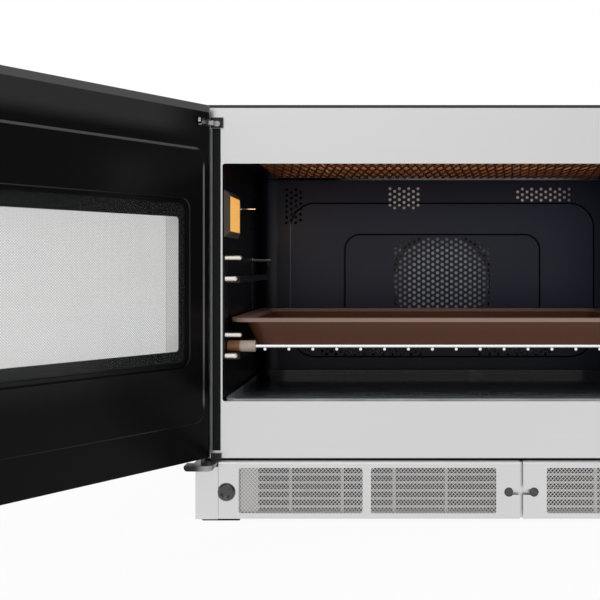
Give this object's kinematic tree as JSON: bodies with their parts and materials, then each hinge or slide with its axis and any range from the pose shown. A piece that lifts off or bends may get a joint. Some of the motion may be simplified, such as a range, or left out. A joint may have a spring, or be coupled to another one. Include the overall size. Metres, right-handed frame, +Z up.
{
  "type": "combination microwave oven",
  "caption": "Over-the-range combination microwave oven with a left-hinged door, convection fan, grill, wire rack, pan and a filter strip below the door.",
  "frame": {"origin": "centre of the rear face that lies against the wall", "axes": "+Z up, +Y into the wall, -Y out of the front, +X to the viewer's right"},
  "size_m": [1.1241, 0.9305, 0.504],
  "materials": {
    "case_paint": "satin dark grey paint",
    "brushed_front": "fine horizontal brushing",
    "galvanised": "plain zinc-coated sheet",
    "black_rubber": "matt",
    "black_steel": "satin black",
    "bright_steel": "bright",
    "enamel": "glossy blue-black enamel",
    "grille_copper": "warm, lit by the grill",
    "heater_sheath": "heat-darkened",
    "motor_steel": "plain",
    "lamp_frame": "satin",
    "lamp_glass": "lit amber",
    "support_chrome": "polished",
    "ceramic_disc": "matt",
    "board_green": "circuit board",
    "black_glass": "opaque black",
    "white_plastic": "moulded",
    "slotted_grey": "satin grey",
    "tinted_glass": "tinted, clear enough to see through",
    "gloss_black": "gloss black",
    "screen_steel": "perforated screen",
    "clear_glass": "clear",
    "chrome_wire": "polished",
    "brown_sleeve": "heat-proof silicone",
    "brown_coating": "non-stick coating",
    "tray_glass": "glossy dark",
    "black_plastic": "moulded"
  },
  "bodies": {
    "oven": {"outer_case": "case_paint", "front_frame": "brushed_front", "rear_panel": "galvanised", "base_housing": "case_paint", "feet": "black_rubber", "stile_pad": "black_rubber", "hinge_plates": "black_steel", "hinge_arms": "bright_steel", "cavity_left": "enamel", "cavity_right": "enamel", "cavity_back": "enamel", "cavity_ceiling": "enamel", "cavity_floor": "enamel", "fan_cover": "enamel", "ceiling_grille": "grille_copper", "grill_element": "heater_sheath", "grill_reflector": "galvanised", "fan_chamber": "galvanised", "fan_motor": "motor_steel", "ring_heater": "heater_sheath", "lamp_frame": "lamp_frame", "lamp_lens": "lamp_glass", "lamp_socket": "galvanised", "lamp_bulb": "lamp_glass", "temperature_probe": "bright_steel", "supports_left": "support_chrome", "supports_right": "support_chrome", "antenna_cover": "ceramic_disc", "antenna_motor": "motor_steel", "waveguide": "galvanised", "magnetron": "galvanised", "transformer": "motor_steel", "capacitor": "galvanised", "control_board": "board_green", "control_bezel": "brushed_front", "control_glass": "black_glass", "interlock_block": "white_plastic", "blower_housing": "galvanised", "blower_motor": "motor_steel", "exhaust_duct": "galvanised", "vent_strip": "brushed_front", "slotted_plates": "slotted_grey", "fixing_knobs": "black_steel"},
    "door": {"door_skin": "brushed_front", "door_glass": "tinted_glass", "door_frame": "gloss_black", "door_screen": "screen_steel", "inner_glass": "clear_glass", "door_handle": "bright_steel"},
    "latch": {"latch_hooks": "white_plastic"},
    "rack": {"rack": "chrome_wire", "rack_sleeves": "brown_sleeve"},
    "pan": {"baking_pan": "brown_coating"},
    "tray": {"floor_tray": "tray_glass"},
    "fan": {"fan_wheel": "bright_steel"},
    "antenna": {"antenna_vane": "bright_steel"},
    "blower": {"blower_wheel": "black_plastic"},
    "damper": {"damper_flap": "galvanised"},
    "filter_l": {"filter_left": "brushed_front"},
    "filter_r": {"filter_right": "brushed_front"}
  },
  "joints": [
    {"name": "door_hinge", "type": "hinge", "parent": "oven", "child": "door", "pos_m": [-0.3695, -0.417, 0], "axis": [0, 0, -1], "range_deg": [-123, 0]},
    {"name": "latch_travel", "type": "slide", "parent": "door", "child": "latch", "axis": [0, 0, 1], "range_m": [0, 0.004], "stiffness_N_per_m": 400, "springref_m": -0.002},
    {"name": "rack_slide", "type": "slide", "parent": "oven", "child": "rack", "axis": [0, -1, 0], "range_m": [0, 0.25]},
    {"name": "pan_lift", "type": "slide", "parent": "rack", "child": "pan", "axis": [0, 0, 1], "range_m": [0, 0.035]},
    {"name": "tray_lift", "type": "slide", "parent": "oven", "child": "tray", "axis": [0, 0, 1], "range_m": [0, 0.03]},
    {"name": "fan_spin", "type": "hinge", "parent": "oven", "child": "fan", "pos_m": [-0.074, -0.045, 0.0294], "axis": [0, 1, 0], "continuous": true},
    {"name": "antenna_spin", "type": "hinge", "parent": "oven", "child": "antenna", "pos_m": [-0.074, -0.229, -0.133], "axis": [0, 0, 1], "continuous": true},
    {"name": "blower_spin", "type": "hinge", "parent": "oven", "child": "blower", "pos_m": [0.307, -0.079, 0.057], "axis": [1, 0, 0], "continuous": true},
    {"name": "damper_swing", "type": "hinge", "parent": "oven", "child": "damper", "pos_m": [0, -0.012, 0.247], "axis": [1, 0, 0], "range_deg": [-75, 0]},
    {"name": "filter_pull_left", "type": "slide", "parent": "oven", "child": "filter_l", "axis": [0, -1, 0], "range_m": [0, 0.03]},
    {"name": "filter_pull_right", "type": "slide", "parent": "oven", "child": "filter_r", "axis": [0, -1, 0], "range_m": [0, 0.03]}
  ]
}
